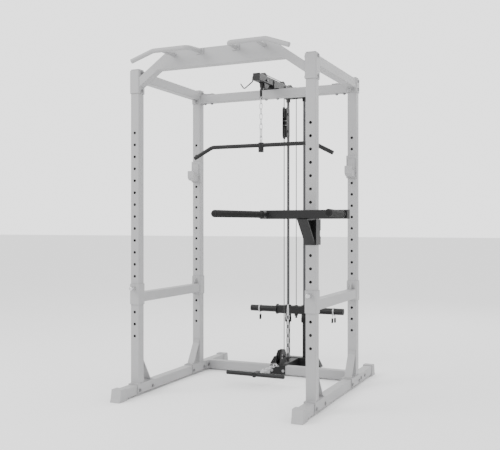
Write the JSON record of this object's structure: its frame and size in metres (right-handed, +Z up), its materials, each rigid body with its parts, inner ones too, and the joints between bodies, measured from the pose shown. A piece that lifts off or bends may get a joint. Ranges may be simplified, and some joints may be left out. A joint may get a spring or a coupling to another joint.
{
  "type": "power cage",
  "caption": "Square-tube power cage with pull-up beam, J-hooks, safety bars, dip handles and a plate-loaded lat and low-row cable tower.",
  "frame": {"origin": "on the floor, under the middle of the whole object's box", "axes": "+X to the right seen from the open front, +Y to the back where the cable tower stands, +Z up"},
  "size_m": [1.5335, 1.9683, 2.137],
  "materials": {
    "pale_paint": "pale grey satin powder coat",
    "pale_plastic": "pale grey moulded plastic and rubber",
    "hook_paint": "pale grey satin powder coat",
    "black_paint": "black fine-textured powder coat",
    "black_plastic": "black moulded nylon",
    "cable_sheath": "black coated wire rope",
    "rubber": "black textured rubber",
    "bright_steel": "zinc-plated steel",
    "dark_steel": "dark zinc and oiled steel"
  },
  "bodies": {
    "root": {"anchor_chain": "bright_steel", "base_rails": "pale_paint", "black_end_caps": "black_plastic", "boom_saddle": "black_paint", "bottom_crossmember": "pale_paint", "cable_runs": "cable_sheath", "dip_beam": "black_paint", "dip_bracket": "black_paint", "dip_grips": "rubber", "foot_brackets": "pale_paint", "frame_bolts_and_nuts": "dark_steel", "guide_rods": "dark_steel", "handle_hook": "black_paint", "lat_boom": "black_paint", "low_pulley_housing": "black_paint", "pull_up_beam": "pale_paint", "pull_up_grips": "pale_paint", "pulley_axles": "dark_steel", "rear_top_crossbeam": "pale_paint", "rod_spacers": "black_paint", "rubber_feet": "pale_plastic", "safety_bars": "pale_paint", "stack_bumpers": "rubber", "strand_to_carriage": "cable_sheath", "strand_to_lat_bar": "cable_sheath", "strand_to_row_bar": "cable_sheath", "strands_over_block": "cable_sheath", "strands_under_block": "cable_sheath", "top_side_beams": "pale_paint", "tower_base": "black_paint", "upright_caps": "pale_plastic", "uprights": "pale_paint"},
    "weight_stack": {"weight_carriage": "black_paint", "carriage_bushes": "black_plastic", "plate_sleeve_caps": "black_plastic"},
    "left_collar": {"left_collar_spring": "bright_steel", "left_collar_grips": "rubber"},
    "right_collar": {"right_collar_spring": "bright_steel", "right_collar_grips": "rubber"},
    "lat_drop": {"lat_cable_stop": "black_paint", "lat_chain": "bright_steel"},
    "lat_handle": {"lat_bar": "black_paint"},
    "front_wheel": {"front_top_pulley": "black_plastic"},
    "second_wheel": {"second_top_pulley": "black_plastic"},
    "third_wheel": {"third_top_pulley": "black_plastic"},
    "rear_wheel": {"rear_top_pulley": "black_plastic"},
    "travelling_block": {"block_cheeks": "black_paint", "block_axles": "dark_steel", "block_cable_turns": "cable_sheath"},
    "block_upper_wheel": {"block_upper_pulley": "black_plastic"},
    "block_lower_wheel": {"block_lower_pulley": "black_plastic"},
    "low_wheel": {"low_pulley": "black_plastic"},
    "row_handle": {"row_chain": "bright_steel", "row_bar": "black_paint"},
    "left_pin": {"left_safety_pin": "bright_steel"},
    "right_pin": {"right_safety_pin": "bright_steel"},
    "left_hook": {"left_j_hook": "hook_paint", "left_j_hook_liner": "pale_plastic"},
    "right_hook": {"right_j_hook": "hook_paint", "right_j_hook_liner": "pale_plastic"}
  },
  "joints": [
    {"name": "weight_lift", "type": "slide", "parent": "root", "child": "weight_stack", "axis": [0, 0, 1], "range_m": [0, 0.95], "deforming": ["strand_to_carriage"]},
    {"name": "lat_bar_pull", "type": "slide", "parent": "root", "child": "lat_drop", "axis": [0, 0, -1], "range_m": [0, 0.95], "deforming": ["strand_to_lat_bar"]},
    {"name": "lat_bar_swivel", "type": "hinge", "parent": "lat_drop", "child": "lat_handle", "pos_m": [-0.14028, 0.272, 1.604], "axis": [0, 0, 1], "range_deg": [-50, 50]},
    {"name": "front_top_pulley_spin", "type": "hinge", "parent": "root", "child": "front_wheel", "pos_m": [-0.14028, 0.319, 2.052], "axis": [1, 0, 0], "continuous": true},
    {"name": "second_top_pulley_spin", "type": "hinge", "parent": "root", "child": "second_wheel", "pos_m": [-0.14028, 0.6565, 2.0615], "axis": [1, 0, 0], "continuous": true},
    {"name": "third_top_pulley_spin", "type": "hinge", "parent": "root", "child": "third_wheel", "pos_m": [-0.14028, 0.8065, 2.0615], "axis": [1, 0, 0], "continuous": true},
    {"name": "rear_top_pulley_spin", "type": "hinge", "parent": "root", "child": "rear_wheel", "pos_m": [-0.14028, 0.9045, 2.0615], "axis": [1, 0, 0], "continuous": true},
    {"name": "row_bar_pull", "type": "slide", "parent": "root", "child": "row_handle", "axis": [0, -1, 0], "range_m": [0, 0.55], "deforming": ["strand_to_row_bar"]},
    {"name": "block_travel", "type": "slide", "parent": "root", "child": "travelling_block", "axis": [0, 0, -1], "range_m": [0, 0.275], "deforming": ["strands_over_block", "strands_under_block"]},
    {"name": "block_upper_pulley_spin", "type": "hinge", "parent": "travelling_block", "child": "block_upper_wheel", "pos_m": [-0.14028, 0.7315, 1.879], "axis": [1, 0, 0], "continuous": true},
    {"name": "block_lower_pulley_spin", "type": "hinge", "parent": "travelling_block", "child": "block_lower_wheel", "pos_m": [-0.14028, 0.7315, 1.753], "axis": [1, 0, 0], "continuous": true},
    {"name": "low_pulley_spin", "type": "hinge", "parent": "root", "child": "low_wheel", "pos_m": [-0.14028, 0.649, 0.125], "axis": [1, 0, 0], "continuous": true},
    {"name": "left_collar_slide", "type": "slide", "parent": "weight_stack", "child": "left_collar", "axis": [-1, 0, 0], "range_m": [-0.1, 0.09]},
    {"name": "left_pin_pull", "type": "slide", "parent": "root", "child": "left_pin", "axis": [0, -1, 0], "range_m": [0, 0.024], "stiffness_N_per_m": 400, "springref_m": -0.01},
    {"name": "left_hook_pull", "type": "slide", "parent": "root", "child": "left_hook", "axis": [0, -1, 0], "range_m": [0, 0.06]},
    {"name": "right_collar_slide", "type": "slide", "parent": "weight_stack", "child": "right_collar", "axis": [1, 0, 0], "range_m": [-0.1, 0.09]},
    {"name": "right_pin_pull", "type": "slide", "parent": "root", "child": "right_pin", "axis": [0, -1, 0], "range_m": [0, 0.024], "stiffness_N_per_m": 400, "springref_m": -0.01},
    {"name": "right_hook_pull", "type": "slide", "parent": "root", "child": "right_hook", "axis": [0, -1, 0], "range_m": [0, 0.06]}
  ],
  "couplings": [
    {"joint": "lat_bar_pull", "follows": "weight_lift", "ratio": 1},
    {"joint": "front_top_pulley_spin", "follows": "weight_lift", "rad_per_m": 21.277},
    {"joint": "second_top_pulley_spin", "follows": "weight_lift", "rad_per_m": 26.667},
    {"joint": "third_top_pulley_spin", "follows": "weight_lift", "rad_per_m": 26.667},
    {"joint": "rear_top_pulley_spin", "follows": "weight_lift", "rad_per_m": 26.667},
    {"joint": "block_upper_pulley_spin", "follows": "weight_lift", "rad_per_m": -26.667},
    {"joint": "block_travel", "follows": "row_bar_pull", "ratio": 0.5},
    {"joint": "block_lower_pulley_spin", "follows": "row_bar_pull", "rad_per_m": -13.333},
    {"joint": "low_pulley_spin", "follows": "row_bar_pull", "rad_per_m": -22.222}
  ]
}
